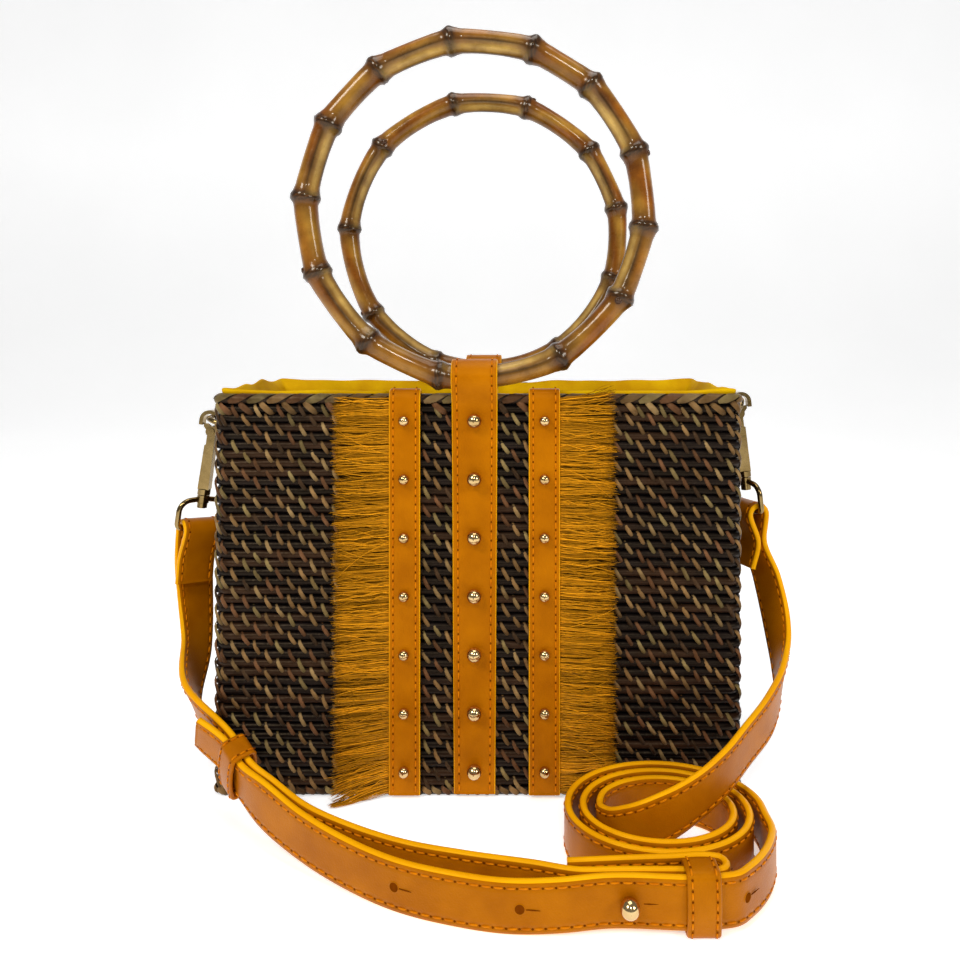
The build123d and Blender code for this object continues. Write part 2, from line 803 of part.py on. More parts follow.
save(fastening_stud, "fastening_stud")

screw_back = inner_y + strap_thickness / 2
head_spot = Vector(stud_spot.X, screw_back + seat_gap, stud_spot.Z)
screw_spot = Vector(stud_spot.X, screw_back + back_thickness, stud_spot.Z)
with BuildPart() as fastening_screw_piece:
    with BuildSketch(Plane(head_spot, z_dir=(0, 1, 0))):
        Circle(fastening_head)
    extrude(amount=back_thickness)
    with BuildSketch(Plane(screw_spot, z_dir=(0, -1, 0))):
        Circle(fastening_screw)
    extrude(amount=strap_thickness + back_thickness)
save(fastening_screw_piece, "fastening_screw")
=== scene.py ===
from math import cos, pi, radians, sin, sqrt

import bpy
import numpy as np
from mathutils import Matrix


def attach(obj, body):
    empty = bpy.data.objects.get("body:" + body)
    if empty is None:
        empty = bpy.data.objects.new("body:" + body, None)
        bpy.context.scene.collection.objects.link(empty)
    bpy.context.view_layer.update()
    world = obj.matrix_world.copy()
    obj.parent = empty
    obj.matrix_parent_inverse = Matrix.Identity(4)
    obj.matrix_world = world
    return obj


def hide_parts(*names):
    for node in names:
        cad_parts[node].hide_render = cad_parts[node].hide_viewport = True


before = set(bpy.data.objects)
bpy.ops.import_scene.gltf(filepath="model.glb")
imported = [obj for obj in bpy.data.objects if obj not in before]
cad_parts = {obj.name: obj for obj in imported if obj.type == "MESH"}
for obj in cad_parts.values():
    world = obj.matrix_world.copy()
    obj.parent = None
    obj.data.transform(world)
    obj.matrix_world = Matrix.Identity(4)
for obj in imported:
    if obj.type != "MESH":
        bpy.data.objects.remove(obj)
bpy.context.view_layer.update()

rng = np.random.default_rng(41)
MM = 0.001

# ---- Sizes, in millimetres unless said ---------------------------------------

HALF_WIDTH = 126.3
HALF_DEPTH = 50.0
HEIGHT = 190.0
CORNER = 5.5

COLUMNS = 130
ROD_PITCH = 4.32
ROD_COUNT = 43
ROD_RADIUS = 2.05
STRAND_PERIOD = 2 * ROD_PITCH
STRAND_LENGTH = 8.3
STRAND_WIDTH = 1.95
STRAND_LEAN = radians(31)

LEATHER = 1.8
TRIM_X = -1.5
STRIP_OFFSET = 33.0
STRIP_WIDTH = 14.8
RING_MAJOR = 80.6
RING_Y = 48.0
RING_Z = 278.8
LOOP_Z = 198.55
LOOP_RADIUS = 8.05
STRAP_WIDTH = 20.0
STRAP_THICK = 3.2
STRAP_HALF = STRAP_WIDTH / 2
LAYER_PITCH = 3.6
STITCH_SIDES = 6
ROD_SIDES = 8
TRIM_GROOVE = 2.6
STRIP_GROOVE = 2.1
STRAP_GROOVE = 2.7
TRIM_Y = 50.9
STRIP_Y = 51.9
INSIDE_Y = 45.1
RIM_CORE_Z = 188.3
RIM_CORE_RADIUS = 2.2
LEAF_Z = 184.2
LEAF_PITCH = 10.2
WRAP_PITCH = 9.3
WRAP_STEPS = 10
FOOT_PITCH = 4.6
WEAVE_FOOT = 5.2
WEAVE_TOP = 185.0
WEAVE_LEVELS = 21

RIGHTWARD = np.array([1.0, 0, 0])
BACKWARD = np.array([0, 1.0, 0])
UPRIGHT = np.array([0, 0, 1.0])

# ---- Mesh helpers ------------------------------------------------------------


def unit(vectors):
    """Vectors scaled to length one."""
    vectors = np.asarray(vectors, dtype=float)
    return vectors / np.linalg.norm(vectors, axis=-1, keepdims=True)


class Heap:
    """Meshes collected into one piece, with a colour for each point."""

    def __init__(self):
        self.points = []
        self.faces = []
        self.tints = []
        self.kinds = []
        self.count = 0

    def add(self, points, faces, tints=(1, 1, 1), kinds=0):
        points = np.asarray(points, dtype=float).reshape(-1, 3)
        tints = np.asarray(tints, dtype=float)
        tints = np.broadcast_to(tints.reshape(-1, 3) if tints.ndim > 1 else tints, points.shape)
        self.points.append(points)
        self.tints.append(tints)
        self.faces += [[corner + self.count for corner in face] for face in faces]
        self.kinds += list(np.broadcast_to(kinds, len(faces)))
        self.count += len(points)

    def piece(self, name, materials, body="bag", stands_for=(), finish=None):
        mesh = bpy.data.meshes.new(name)
        points = np.concatenate(self.points) * MM
        mesh.from_pydata(points.tolist(), [], self.faces)
        for material in materials:
            mesh.materials.append(material)
        mesh.polygons.foreach_set("material_index", np.array(self.kinds, dtype=np.int32))
        mesh.polygons.foreach_set("use_smooth", np.ones(len(self.faces), dtype=bool))
        tint = mesh.attributes.new("tint", "FLOAT_COLOR", "POINT")
        colours = np.ones((self.count, 4))
        colours[:, :3] = np.concatenate(self.tints)
        tint.data.foreach_set("color", colours.ravel())
        mesh.update()
        obj = bpy.data.objects.new(name, mesh)
        bpy.context.scene.collection.objects.link(obj)
        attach(obj, body)
        if stands_for:
            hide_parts(*stands_for)
        return obj


def swept(lines, side, lift, section, closed=True, ring=False):
    """Points and quads of many sections moved along many lines at once."""
    section = np.asarray(section, dtype=float)
    across = section[..., 0][..., None]
    above = section[..., 1][..., None]
    points = lines[:, :, None, :] + side[:, :, None, :] * across + lift[:, :, None, :] * above
    many, steps, around = points.shape[:3]
    index = np.arange(many * steps * around).reshape(many, steps, around)
    here = index if ring else index[:, :-1]
    ahead = np.roll(index, -1, axis=1) if ring else index[:, 1:]
    if closed:
        here_next = np.roll(here, -1, axis=2)
        ahead_next = np.roll(ahead, -1, axis=2)
    else:
        here_next = here[:, :, 1:]
        ahead_next = ahead[:, :, 1:]
        here = here[:, :, :-1]
        ahead = ahead[:, :, :-1]
    quads = np.stack([here, here_next, ahead_next, ahead], axis=-1).reshape(-1, 4)
    return points, quads


def round_section(radius, sides):
    """A circle's points, as (across, above); radius may be an array."""
    turn = np.arange(sides) * 2 * pi / sides
    radius = np.asarray(radius, dtype=float)[..., None]
    return np.stack([radius * np.cos(turn), radius * np.sin(turn)], axis=-1)


def smooth_run(spots, across, step):
    """A smooth line through the spots: points, way across, way along, lengths."""
    spots = np.asarray(spots, dtype=float)
    across = unit(across)
    gaps = np.linalg.norm(np.diff(spots, axis=0), axis=1)
    place = np.concatenate([[0], np.cumsum(gaps)])
    both = np.concatenate([spots, across], axis=1)
    slopes = np.diff(both, axis=0) / gaps[:, None]
    bends = np.empty_like(both)
    bends[0] = slopes[0]
    bends[-1] = slopes[-1]
    before = gaps[:-1, None]
    after = gaps[1:, None]
    bends[1:-1] = (slopes[:-1] * after + slopes[1:] * before) / (before + after)
    asked = np.linspace(0, place[-1], max(2, int(place[-1] / step) + 1))
    cell = np.clip(np.searchsorted(place, asked, side="right") - 1, 0, len(gaps) - 1)
    size = gaps[cell][:, None]
    t = (asked - place[cell])[:, None] / size
    both = (
        (2 * t**3 - 3 * t**2 + 1) * both[cell]
        + (t**3 - 2 * t**2 + t) * size * bends[cell]
        + (3 * t**2 - 2 * t**3) * both[cell + 1]
        + (t**3 - t**2) * size * bends[cell + 1]
    )
    line = both[:, :3]
    along = unit(np.gradient(line, axis=0))
    wide = both[:, 3:]
    wide = unit(wide - along * np.sum(wide * along, axis=1, keepdims=True))
    lengths = np.concatenate([[0], np.cumsum(np.linalg.norm(np.diff(line, axis=0), axis=1))])
    return line, wide, along, lengths


def at(run, places):
    """The run's points and directions at these lengths along it."""
    line, wide, along, lengths = run
    found = []
    for values in (line, wide, along):
        found.append(np.stack([np.interp(places, lengths, values[:, axis]) for axis in range(3)], axis=1))
    return found[0], unit(found[1]), unit(found[2])


def leather_band(heap, run, width, thick, groove, ring=False, tint=(1, 1, 1)):
    """A leather band: faces with stitch grooves, and round painted edges."""
    line, wide, along, lengths = run
    half = thick / 2
    turns = np.radians([-60, -30, 0, 30, 60])
    right = [(1, half * (1 - cos(a)), sin(a)) for a in turns]
    left = [(-1, half * (1 - cos(a)), sin(a)) for a in turns[::-1]]
    face = [(half, 0.95), (groove - 0.7, 1.0), (groove, 0.8), (groove + 0.7, 1.0), (groove + 2, 1.0)]
    top = [(1, i, h) for i, h in face] + [(-1, i, h) for i, h in face[::-1]]
    under = [(-1, i, -h) for i, h in face] + [(1, i, -h) for i, h in face[::-1]]
    outline = np.array(right + top + left + under)
    edge_corners = list(range(4)) + list(range(15, 19))
    widths = np.broadcast_to(width, len(line))[:, None]
    across = outline[:, 0] * (widths / 2 - outline[:, 1])
    above = np.broadcast_to(outline[:, 2] * half, across.shape)
    section = np.stack([across, above], axis=-1)[None]
    lift = np.cross(wide, along)
    points, quads = swept(line[None], wide[None], lift[None], section, ring=ring)
    around = len(outline)
    kinds = np.array([1 if k % around in edge_corners else 0 for k in range(len(quads))])
    caps = []
    if not ring:
        last = (len(line) - 1) * around
        caps = [list(range(around)), [last + k for k in range(around)][::-1]]
    heap.add(points, quads.tolist() + caps, tint, list(kinds) + [1] * len(caps))


def stitch_rows(heap, run, width, thick, groove, pitch, start=3.0, stop=3.0):
    """Rows of stitches with a needle hole between each two, a dark disc of painted shade."""
    length = run[3][-1]
    places = np.arange(start, length - stop, pitch)
    spot, wide, along = at(run, places)
    lift = np.cross(wide, along)
    widths = np.interp(places, run[3], np.broadcast_to(width, len(run[3])))[:, None]
    reach = np.array([-0.37, -0.27, 0, 0.27, 0.37]) * pitch
    rise = np.array([-0.3, 0.12, 0.24, 0.12, -0.3])
    radius = np.array([0.2, 0.36, 0.4, 0.36, 0.2])
    for face in (1, -1):
        for row in (-1, 1):
            base = spot + wide * row * (widths / 2 - groove) + lift * face * (thick / 2 * 0.86)
            lines = base[:, None] + along[:, None] * reach[None, :, None]
            lines = lines + (lift * face)[:, None] * rise[None, :, None]
            shape = (len(places), 5, 3)
            side = np.broadcast_to(wide[:, None], shape)
            up = np.broadcast_to(lift[:, None], shape)
            points, quads = swept(lines, side, up, round_section(radius, STITCH_SIDES)[None])
            heap.add(points, quads.tolist(), kinds=0)
            hole = base + along * pitch / 2 + lift * face * 0.14
            pair = np.stack([hole, hole], axis=1)
            side = np.broadcast_to(wide[:, None], pair.shape)
            down = np.broadcast_to(along[:, None], pair.shape)
            disc = round_section(np.array([0.5, 0.01]), STITCH_SIDES)[None]
            points, quads = swept(pair, side, down, disc)
            heap.add(points, quads.tolist(), kinds=1)


def sewn_band(node, run, width, thick, groove, pitch):
    """A leather band that stands for a CAD node; returns its stitching."""
    band = Heap()
    leather_band(band, run, width, thick, groove)
    band.piece(node + "_band", [leather, paint], stands_for=[node], finish="leather")
    sewn = Heap()
    stitch_rows(sewn, run, width, thick, groove, pitch)
    return sewn


# ---- Materials ---------------------------------------------------------------


def finish(name, dark, light, scale, rough, grain_scale, grain, tinted=False, **extra):
    """A surface whose colour drifts between two tones under a fine grain."""
    material = bpy.data.materials.new(name)
    material.use_nodes = True
    nodes = material.node_tree.nodes
    links = material.node_tree.links
    shader = nodes["Principled BSDF"]
    place = nodes.new("ShaderNodeTexCoord")
    drift = nodes.new("ShaderNodeTexNoise")
    drift.inputs["Scale"].default_value = scale
    drift.inputs["Detail"].default_value = 5.0
    links.new(place.outputs["Object"], drift.inputs["Vector"])
    tones = nodes.new("ShaderNodeValToRGB")
    tones.color_ramp.elements[0].position = 0.32
    tones.color_ramp.elements[0].color = (*dark, 1)
    tones.color_ramp.elements[1].position = 0.68
    tones.color_ramp.elements[1].color = (*light, 1)
    links.new(drift.outputs["Fac"], tones.inputs["Fac"])
    colour = tones.outputs["Color"]
    if tinted:
        tint = nodes.new("ShaderNodeAttribute")
        tint.attribute_name = "tint"
        mixed = nodes.new("ShaderNodeMix")
        mixed.data_type = "RGBA"
        mixed.blend_type = "MULTIPLY"
        mixed.inputs["Factor"].default_value = 1.0
        links.new(colour, mixed.inputs["A"])
        links.new(tint.outputs["Color"], mixed.inputs["B"])
        colour = mixed.outputs["Result"]
    links.new(colour, shader.inputs["Base Color"])
    fine = nodes.new("ShaderNodeTexNoise")
    fine.inputs["Scale"].default_value = grain_scale
    fine.inputs["Detail"].default_value = 3.0
    links.new(place.outputs["Object"], fine.inputs["Vector"])
    polish = nodes.new("ShaderNodeMapRange")
    polish.inputs["To Min"].default_value = rough - 0.08 * min(1, rough * 2)
    polish.inputs["To Max"].default_value = rough + 0.08 * min(1, rough * 2)
    links.new(fine.outputs["Fac"], polish.inputs["Value"])
    links.new(polish.outputs["Result"], shader.inputs["Roughness"])
    bump = nodes.new("ShaderNodeBump")
    bump.inputs["Strength"].default_value = 1.0
    bump.inputs["Distance"].default_value = grain
    links.new(fine.outputs["Fac"], bump.inputs["Height"])
    links.new(bump.outputs["Normal"], shader.inputs["Normal"])
    for socket, value in extra.items():
        shader.inputs[socket.replace("_", " ")].default_value = value
    return material


WARM = (1.0, 0.55, 0.08, 1)
leather = finish(
    "leather", (0.345, 0.096, 0.0003), (0.455, 0.139, 0.0005), 60, 0.36, 1400, 0.00012,
    Specular_IOR_Level=0.22, Specular_Tint=WARM,
)
paint = finish(
    "edge_paint", (0.78, 0.32, 0.0008), (0.88, 0.40, 0.0015), 40, 0.32, 500, 0.00005,
    Specular_IOR_Level=0.3, Specular_Tint=WARM,
)
thread = finish(
    "stitch_thread", (0.50, 0.125, 0.0008), (0.72, 0.22, 0.0015), 300, 0.60, 2500, 0.00012,
    Specular_IOR_Level=0.2, Specular_Tint=WARM,
)
# Painted shade inside needle holes, fastening holes and slits.
hole_shade = finish(
    "hole_shade", (0.13, 0.028, 0.001), (0.19, 0.042, 0.001), 300, 0.80, 2500, 0.00005,
    Specular_IOR_Level=0.0,
)
cane = finish(
    "cane", (0.55, 0.50, 0.45), (1, 1, 1), 160, 0.34, 700, 0.00020,
    tinted=True, Specular_IOR_Level=0.16, Specular_Tint=(1.0, 0.72, 0.42, 1),
)
# Near-black painted shade for the sheets that fill the gaps between the rods.
shade_sheet_dark = finish(
    "painted_shade_sheet", (0.003, 0.002, 0.002), (0.007, 0.005, 0.004), 200, 0.7, 700, 0.0002,
    Specular_IOR_Level=0.05,
)
cloth = finish(
    "lining_cloth", (0.50, 0.25, 0.0003), (0.68, 0.40, 0.0006), 45, 0.75, 1500, 0.00018,
    Specular_IOR_Level=0.05,
)
silk = finish(
    "fringe_thread", (0.8, 0.8, 0.8), (1, 1, 1), 200, 0.40, 900, 0.0001,
    tinted=True, Specular_IOR_Level=0.35, Specular_Tint=WARM,
)
lacquer = finish(
    "bamboo", (0.55, 0.46, 0.40), (1.15, 1.05, 0.9), 95, 0.28, 260, 0.00016,
    tinted=True, Specular_IOR_Level=0.25, Specular_Tint=(1.0, 0.75, 0.4, 1),
    Coat_Weight=0.38, Coat_Roughness=0.08,
)
gold = finish(
    "gold_metal", (0.50, 0.33, 0.13), (0.70, 0.50, 0.24), 120, 0.13, 900, 0.00002,
    Metallic=1.0,
)
# Painted reflection: a darker gold for the hooks, gates, strap loops and D-rings stands for the dark
# surroundings they mirror.
dark_reflection_gold = finish(
    "shaded_gold", (0.20, 0.13, 0.045), (0.36, 0.25, 0.10), 90, 0.16, 600, 0.00003,
    Metallic=1.0,
)

# ---- Basket: woven cane ------------------------------------------------------

FLAT_X = 2 * (HALF_WIDTH - CORNER)
FLAT_Y = 2 * (HALF_DEPTH - CORNER)
BEND = CORNER * pi / 2
EDGE_LENGTHS = [0, FLAT_X, BEND, FLAT_Y, BEND, FLAT_X, BEND, FLAT_Y, BEND]
EDGE_AT = np.cumsum(EDGE_LENGTHS)
AROUND = EDGE_AT[-1]
CENTRE_X = np.array([-1, 1, 1, 1, 1, -1, -1, -1, -1]) * FLAT_X / 2
CENTRE_Y = np.array([-1, -1, -1, 1, 1, 1, 1, -1, -1]) * FLAT_Y / 2
FACING = np.radians([-90, -90, 0, 0, 90, 90, 180, 180, 270])


def wall_point(s, z, depth):
    """A point on the basket's wall, its way out and its way round."""
    s, z, depth = np.broadcast_arrays(np.asarray(s, dtype=float) % AROUND, z, depth)
    facing = np.interp(s, EDGE_AT, FACING)
    out = np.stack([np.cos(facing), np.sin(facing), np.zeros_like(facing)], axis=-1)
    centre = np.stack([np.interp(s, EDGE_AT, CENTRE_X), np.interp(s, EDGE_AT, CENTRE_Y), z], axis=-1)
    way = np.stack([-np.sin(facing), np.cos(facing), np.zeros_like(facing)], axis=-1)
    return centre + out * (CORNER - depth)[..., None], out, way


STRAND_TONES = np.array([
    (0.24, 0.135, 0.050), (0.23, 0.165, 0.062), (0.15, 0.066, 0.028),
    (0.29, 0.185, 0.075), (0.06, 0.032, 0.016),
])
STRAND_ODDS = [0.34, 0.16, 0.24, 0.14, 0.12]


def strand_tints(count, shape):
    """One cane tone for each strand, with a little spread."""
    picked = STRAND_TONES[rng.choice(len(STRAND_TONES), count, p=STRAND_ODDS)]
    picked = picked * rng.uniform(0.6, 1.2, (count, 1))
    return np.broadcast_to(picked[:, None, None, :], (count, *shape, 3)).reshape(-1, 3)


def strands(heap, s, z, length, width, lean, proud, sink, steps=7, taper=0.3):
    """Flat canes that come out of the wall, lie over it and go back in."""
    count = len(s)
    t = np.linspace(-1, 1, steps)
    travel = t * length / 2
    sway = s[:, None] + travel * np.sin(lean)[:, None]
    fall = z[:, None] - travel * np.cos(lean)[:, None]
    depth = -proud + (proud + sink) * np.abs(t) ** 4
    lines, out, way = wall_point(sway, fall, np.broadcast_to(depth, sway.shape))
    side = way * np.cos(lean)[:, None, None] + UPRIGHT * np.sin(lean)[:, None, None]
    shrink = 1 - taper * np.abs(t) ** 3
    across = np.array([-1, -0.6, 0, 0.6, 1]) * width / 2
    crown = np.array([-0.55, -0.1, 0.12, -0.1, -0.55])
    section = np.stack(
        [shrink[:, None] * across[None], np.broadcast_to(crown, (steps, 5))], axis=-1
    )[None]
    points, quads = swept(lines, side, out, section, closed=False)
    # Painted light: each strand is darker at both ends, where it dives into the wall, and lighter on its
    # upper part as a painted highlight.
    painted_light_along = np.interp(t, [-1, -0.6, 0.2, 1], [0.5, 1.15, 0.85, 0.35])
    tones = strand_tints(count, (steps, 5)).reshape(count, steps, 5, 3)
    tones = tones * painted_light_along[None, :, None, None]
    heap.add(points, quads.tolist(), tones)


rods = Heap()
rod_s = np.arange(COLUMNS) * AROUND / COLUMNS
for row in range(ROD_COUNT):
    wander = 0.12 * np.sin(rod_s * 0.09 + row) + rng.normal(0, 0.05, COLUMNS)
    height = ROD_RADIUS + 0.1 + ROD_PITCH * row + wander
    line, out, way = wall_point(rod_s, height, 2.05)
    thick = ROD_RADIUS * rng.uniform(0.93, 1.03, COLUMNS)
    lift = np.broadcast_to(UPRIGHT, out.shape)
    section = round_section(thick, ROD_SIDES)[None]
    points, quads = swept(line[None], out[None], lift[None], section, ring=True)
    dark = np.array([0.006, 0.004, 0.004]) * rng.uniform(0.5, 1.5)
    brown = np.array([0.036, 0.016, 0.008])
    blend = np.clip(np.sin(rod_s * rng.uniform(0.01, 0.05) + rng.uniform(0, 6)) * 2 - 1.1, 0, 1)
    tone = dark + (brown - dark) * blend[:, None]
    rods.add(points, quads.tolist(), np.repeat(tone, ROD_SIDES, axis=0))
rods.piece("basket_rods", [cane], stands_for=["basket_body"], finish="cane")

weave = Heap()
column = np.arange(COLUMNS)
level_z = WEAVE_FOOT + np.arange(WEAVE_LEVELS) * STRAND_PERIOD
grid_s, grid_z = np.meshgrid(column * AROUND / COLUMNS, level_z, indexing="ij")
grid_z = grid_z + np.where(column % 2 == 1, ROD_PITCH, 0)[:, None]
grid_s = grid_s.ravel() + rng.normal(0, 0.22, grid_s.size)
grid_z = grid_z.ravel() + rng.normal(0, 0.25, grid_z.size)
kept = grid_z < WEAVE_TOP
grid_s = grid_s[kept]
grid_z = grid_z[kept]
leans = STRAND_LEAN + rng.normal(0, 0.05, len(grid_s))
strands(weave, grid_s, grid_z, STRAND_LENGTH, STRAND_WIDTH, leans, 0.35, 1.7)
weave.piece("basket_strands", [cane], stands_for=["basket_body"], finish="cane")

# Rim: slanted leaves below, a core with wraps over the top, and laced corners.
rim = Heap()
leaf_s = np.arange(0, AROUND, LEAF_PITCH)
leaf_count = len(leaf_s)
strands(
    rim, leaf_s + rng.normal(0, 0.4, leaf_count), LEAF_Z + rng.normal(0, 0.3, leaf_count), 9.0, 2.9,
    radians(47) + rng.normal(0, 0.07, leaf_count), 0.75, 1.2,
)
corner_z = np.arange(8, 182, STRAND_PERIOD)
for corner_s in (-BEND * 0.5, FLAT_X + FLAT_Y + BEND * 1.5):
    spots = corner_s + rng.normal(0, 0.2, len(corner_z))
    leans = radians(30) + rng.normal(0, 0.05, len(corner_z))
    strands(rim, spots, corner_z, 13.5, 2.1, leans, 0.3, 1.2)
foot_s = np.arange(0, AROUND, FOOT_PITCH)
leans = radians(62) + rng.normal(0, 0.07, len(foot_s))
strands(rim, foot_s, np.full(len(foot_s), 2.4), 6.2, 2.6, leans, 0.55, 1.2)

core_line, core_out, _ = wall_point(rod_s, RIM_CORE_Z, 2.0)
core_lift = np.broadcast_to(UPRIGHT, core_out.shape)
section = round_section(np.full(COLUMNS, RIM_CORE_RADIUS), ROD_SIDES)[None]
points, quads = swept(core_line[None], core_out[None], core_lift[None], section, ring=True)
rim.add(points, quads.tolist(), (0.03, 0.018, 0.012))
wrap_s = np.arange(0, AROUND, WRAP_PITCH)
wrap_s = wrap_s + rng.normal(0, 0.35, len(wrap_s))
u = np.linspace(0, 1, WRAP_STEPS)
swing = np.radians(-38 + 200 * u)
wrap_travel = 15.5 * (u - 0.45)
wrap_shape = (len(wrap_s), WRAP_STEPS)
wrap_depth = np.broadcast_to(2.0 - 2.5 * np.cos(swing), wrap_shape)
wrap_z = np.broadcast_to(188.2 + 2.5 * np.sin(swing), wrap_shape)
lines, out, way = wall_point(wrap_s[:, None] + wrap_travel, wrap_z, wrap_depth)
outward = np.cos(swing)[None, :, None]
upward = np.sin(swing)[None, :, None]
lift = out * outward + UPRIGHT * upward
curl = -out * upward + UPRIGHT * outward
side = unit(way * 0.5 - curl * 0.86)
leaf = 4.5 * np.sin(pi * (0.12 + 0.76 * u)) ** 0.7
leaf_across = leaf[:, None] / 2 * np.array([-1, -0.5, 0, 0.5, 1])[None]
leaf_crown = np.broadcast_to([-0.4, 0.05, 0.2, 0.05, -0.4], leaf_across.shape)
section = np.stack([leaf_across, leaf_crown], axis=-1)[None]
points, quads = swept(lines, side, lift, section, closed=False)
rim.add(points, quads.tolist(), strand_tints(len(wrap_s), (WRAP_STEPS, 5)) * 0.7)
rim.piece("basket_rim", [cane], stands_for=["basket_body"], finish="cane")

# Painted shade: near-black sheets inside the wall and across the floor fill the gaps between the rods,
# where there is only shade; and the woven floor.
shade_backing = Heap()
wall_z = np.array([0.3, 188.0])
for depth in (2.3, 3.95):
    ring_points = wall_point(rod_s[None, :], wall_z[:, None], np.full((2, COLUMNS), depth))[0]
    index = np.arange(2 * COLUMNS).reshape(2, COLUMNS)
    faces = np.stack([index[0], np.roll(index[0], -1), np.roll(index[1], -1), index[1]], axis=-1)
    shade_backing.add(ring_points, faces.tolist())
for floor_z, depth in ((0.5, 2.0), (3.6, 4.0)):
    floor_ring = wall_point(rod_s, floor_z, depth)[0]
    shade_backing.add(floor_ring, [list(range(COLUMNS))])
for row in range(23):
    y = -45.1 + 4.1 * row
    reach = HALF_WIDTH - 3 - (2.5 if abs(y) > 44 else 0)
    line = np.array([[(-reach, y, 1.9), (reach, y, 1.9)]], dtype=float)
    side = np.broadcast_to(BACKWARD, line.shape)
    lift = np.broadcast_to(UPRIGHT, line.shape)
    points, quads = swept(line, side, lift, round_section(np.full(2, 1.85), ROD_SIDES)[None])
    shade_backing.add(points, quads.tolist(), kinds=1, tints=(0.03, 0.02, 0.015))
shade_backing.piece("basket_shade_sheets_and_floor", [shade_sheet_dark, cane], stands_for=["basket_body"], finish="cane")

# ---- Lining ------------------------------------------------------------------

LINING_STEPS = 420
lining_s = np.arange(LINING_STEPS) * AROUND / LINING_STEPS
near_corner = np.zeros(LINING_STEPS)
for k in range(4):
    middle = (EDGE_AT[2 * k + 1] + EDGE_AT[2 * k + 2]) / 2
    apart = np.abs((lining_s - middle + AROUND / 2) % AROUND - AROUND / 2)
    near_corner = np.maximum(near_corner, np.exp(-((apart / 16) ** 2)))
ripple = np.zeros(LINING_STEPS)
for _ in range(9):
    turns = rng.integers(4, 34)
    ripple += np.sin(2 * pi * turns * lining_s / AROUND + rng.uniform(0, 6)) / 9
ripple = ripple / np.abs(ripple).max()


def lining_row(z, depth):
    """One level of the lining, this deep inside the wall, with round corners at any depth."""
    points = wall_point(lining_s, z, 3.0)[0]
    points[:, 0] *= (HALF_WIDTH - depth) / (HALF_WIDTH - 3.0)
    points[:, 1] *= (HALF_DEPTH - depth) / (HALF_DEPTH - 3.0)
    return points


rows = []
for shrink in (0.02, 0.3, 0.6, 0.85, 0.97):
    ring_points = lining_row(4.9, 6.4)
    ring_points[:, :2] *= shrink
    rows.append(ring_points)
for z in (5.5, 20, 45, 75, 105, 130, 150, 165, 176, 184, 187.5):
    rise = z / HEIGHT
    rows.append(lining_row(z, 7.9 + 0.8 * ripple * rise))
hem_top = 1.7 + 1.0 * near_corner + 0.5 * ripple
puffs = (
    (EDGE_AT[6] + 0.40 * FLAT_Y, 2.6, 11),
    (EDGE_AT[6] + 0.7 * FLAT_Y, 1.2, 9),
    (EDGE_AT[2] + 0.55 * FLAT_Y, 1.3, 14),
)
for puff_at, puff_high, puff_wide in puffs:
    hem_top = hem_top + puff_high * np.exp(-(((lining_s - puff_at) / puff_wide) ** 2))
# The hem tucks in behind the straps' inside ends, and dips under the rings.
behind = np.zeros(LINING_STEPS)
for spot_s, reach in (
    (FLAT_X / 2 + TRIM_X - STRIP_OFFSET, 8.5), (FLAT_X / 2 + TRIM_X, 11.5),
    (FLAT_X / 2 + TRIM_X + STRIP_OFFSET, 8.5), (EDGE_AT[4] + FLAT_X / 2 - TRIM_X, 11.5),
):
    behind = np.maximum(behind, 0.5 - 0.5 * np.tanh((np.abs(lining_s - spot_s) - reach - 1.5) / 1.2))
under_ring = np.zeros(LINING_STEPS)
for spot_s in (FLAT_X / 2, EDGE_AT[4] + FLAT_X / 2):
    under_ring = np.maximum(under_ring, np.exp(-(((lining_s - spot_s) / 34) ** 4)))
hem = [(5.6, 0.0), (4.9, 0.75), (4.3, 1.0), (3.6, 0.8), (3.2, 0.35), (3.3, 0.0)]
for depth, lifted in hem:
    tucked = np.maximum(depth, 7.2 + (depth - 3.2) * 0.3)
    hem_depth = depth + 0.5 * ripple - 1.2 * near_corner * lifted
    hem_depth = hem_depth * (1 - behind) + (tucked + 0.2 * ripple) * behind
    rows.append(lining_row(190.6 + hem_top * lifted - 1.6 * under_ring, hem_depth))
lining = Heap()
index = np.arange(len(rows) * LINING_STEPS).reshape(len(rows), LINING_STEPS)
beside = np.roll(index, -1, axis=1)
quads = np.stack([index[:-1], beside[:-1], beside[1:], index[1:]], axis=-1)
lining.add(np.concatenate(rows), quads.reshape(-1, 4).tolist() + [index[0].tolist()])
lining_piece = lining.piece("lining_cloth", [cloth], stands_for=["lining"], finish="lining")

# ---- Leather trims -----------------------------------------------------------


def trim(node, path, x, width, groove, pitch):
    """A band in the upright plane at x, with its stitching."""
    spots = [(x, y, z) for y, z in path]
    run = smooth_run(spots, [RIGHTWARD] * len(spots), 1.5)
    widths = width if np.isscalar(width) else np.interp(run[3], [0, HEIGHT], width)
    sewn = sewn_band(node, run, widths, LEATHER, groove, pitch)
    sewn.piece(node + "_band_stitches", [thread, hole_shade], finish="leather")


def hanger_path(out, low, tail):
    """Up the wall, round the ring and down inside; out is -1 in front."""
    path = [
        (out * TRIM_Y, low), (out * TRIM_Y, (low + 180) / 2), (out * 50.95, 180),
        (out * 51.4, 186.5), (out * 53.4, 191.3),
    ]
    for step in range(11):
        turn = radians(-28 + 23.6 * step)
        path.append((out * (RING_Y + LOOP_RADIUS * cos(turn)), LOOP_Z + LOOP_RADIUS * sin(turn)))
    path += [(out * 43.6, 191.0), (out * 45.0, 186), (out * INSIDE_Y, 180), (out * INSIDE_Y, tail)]
    return path


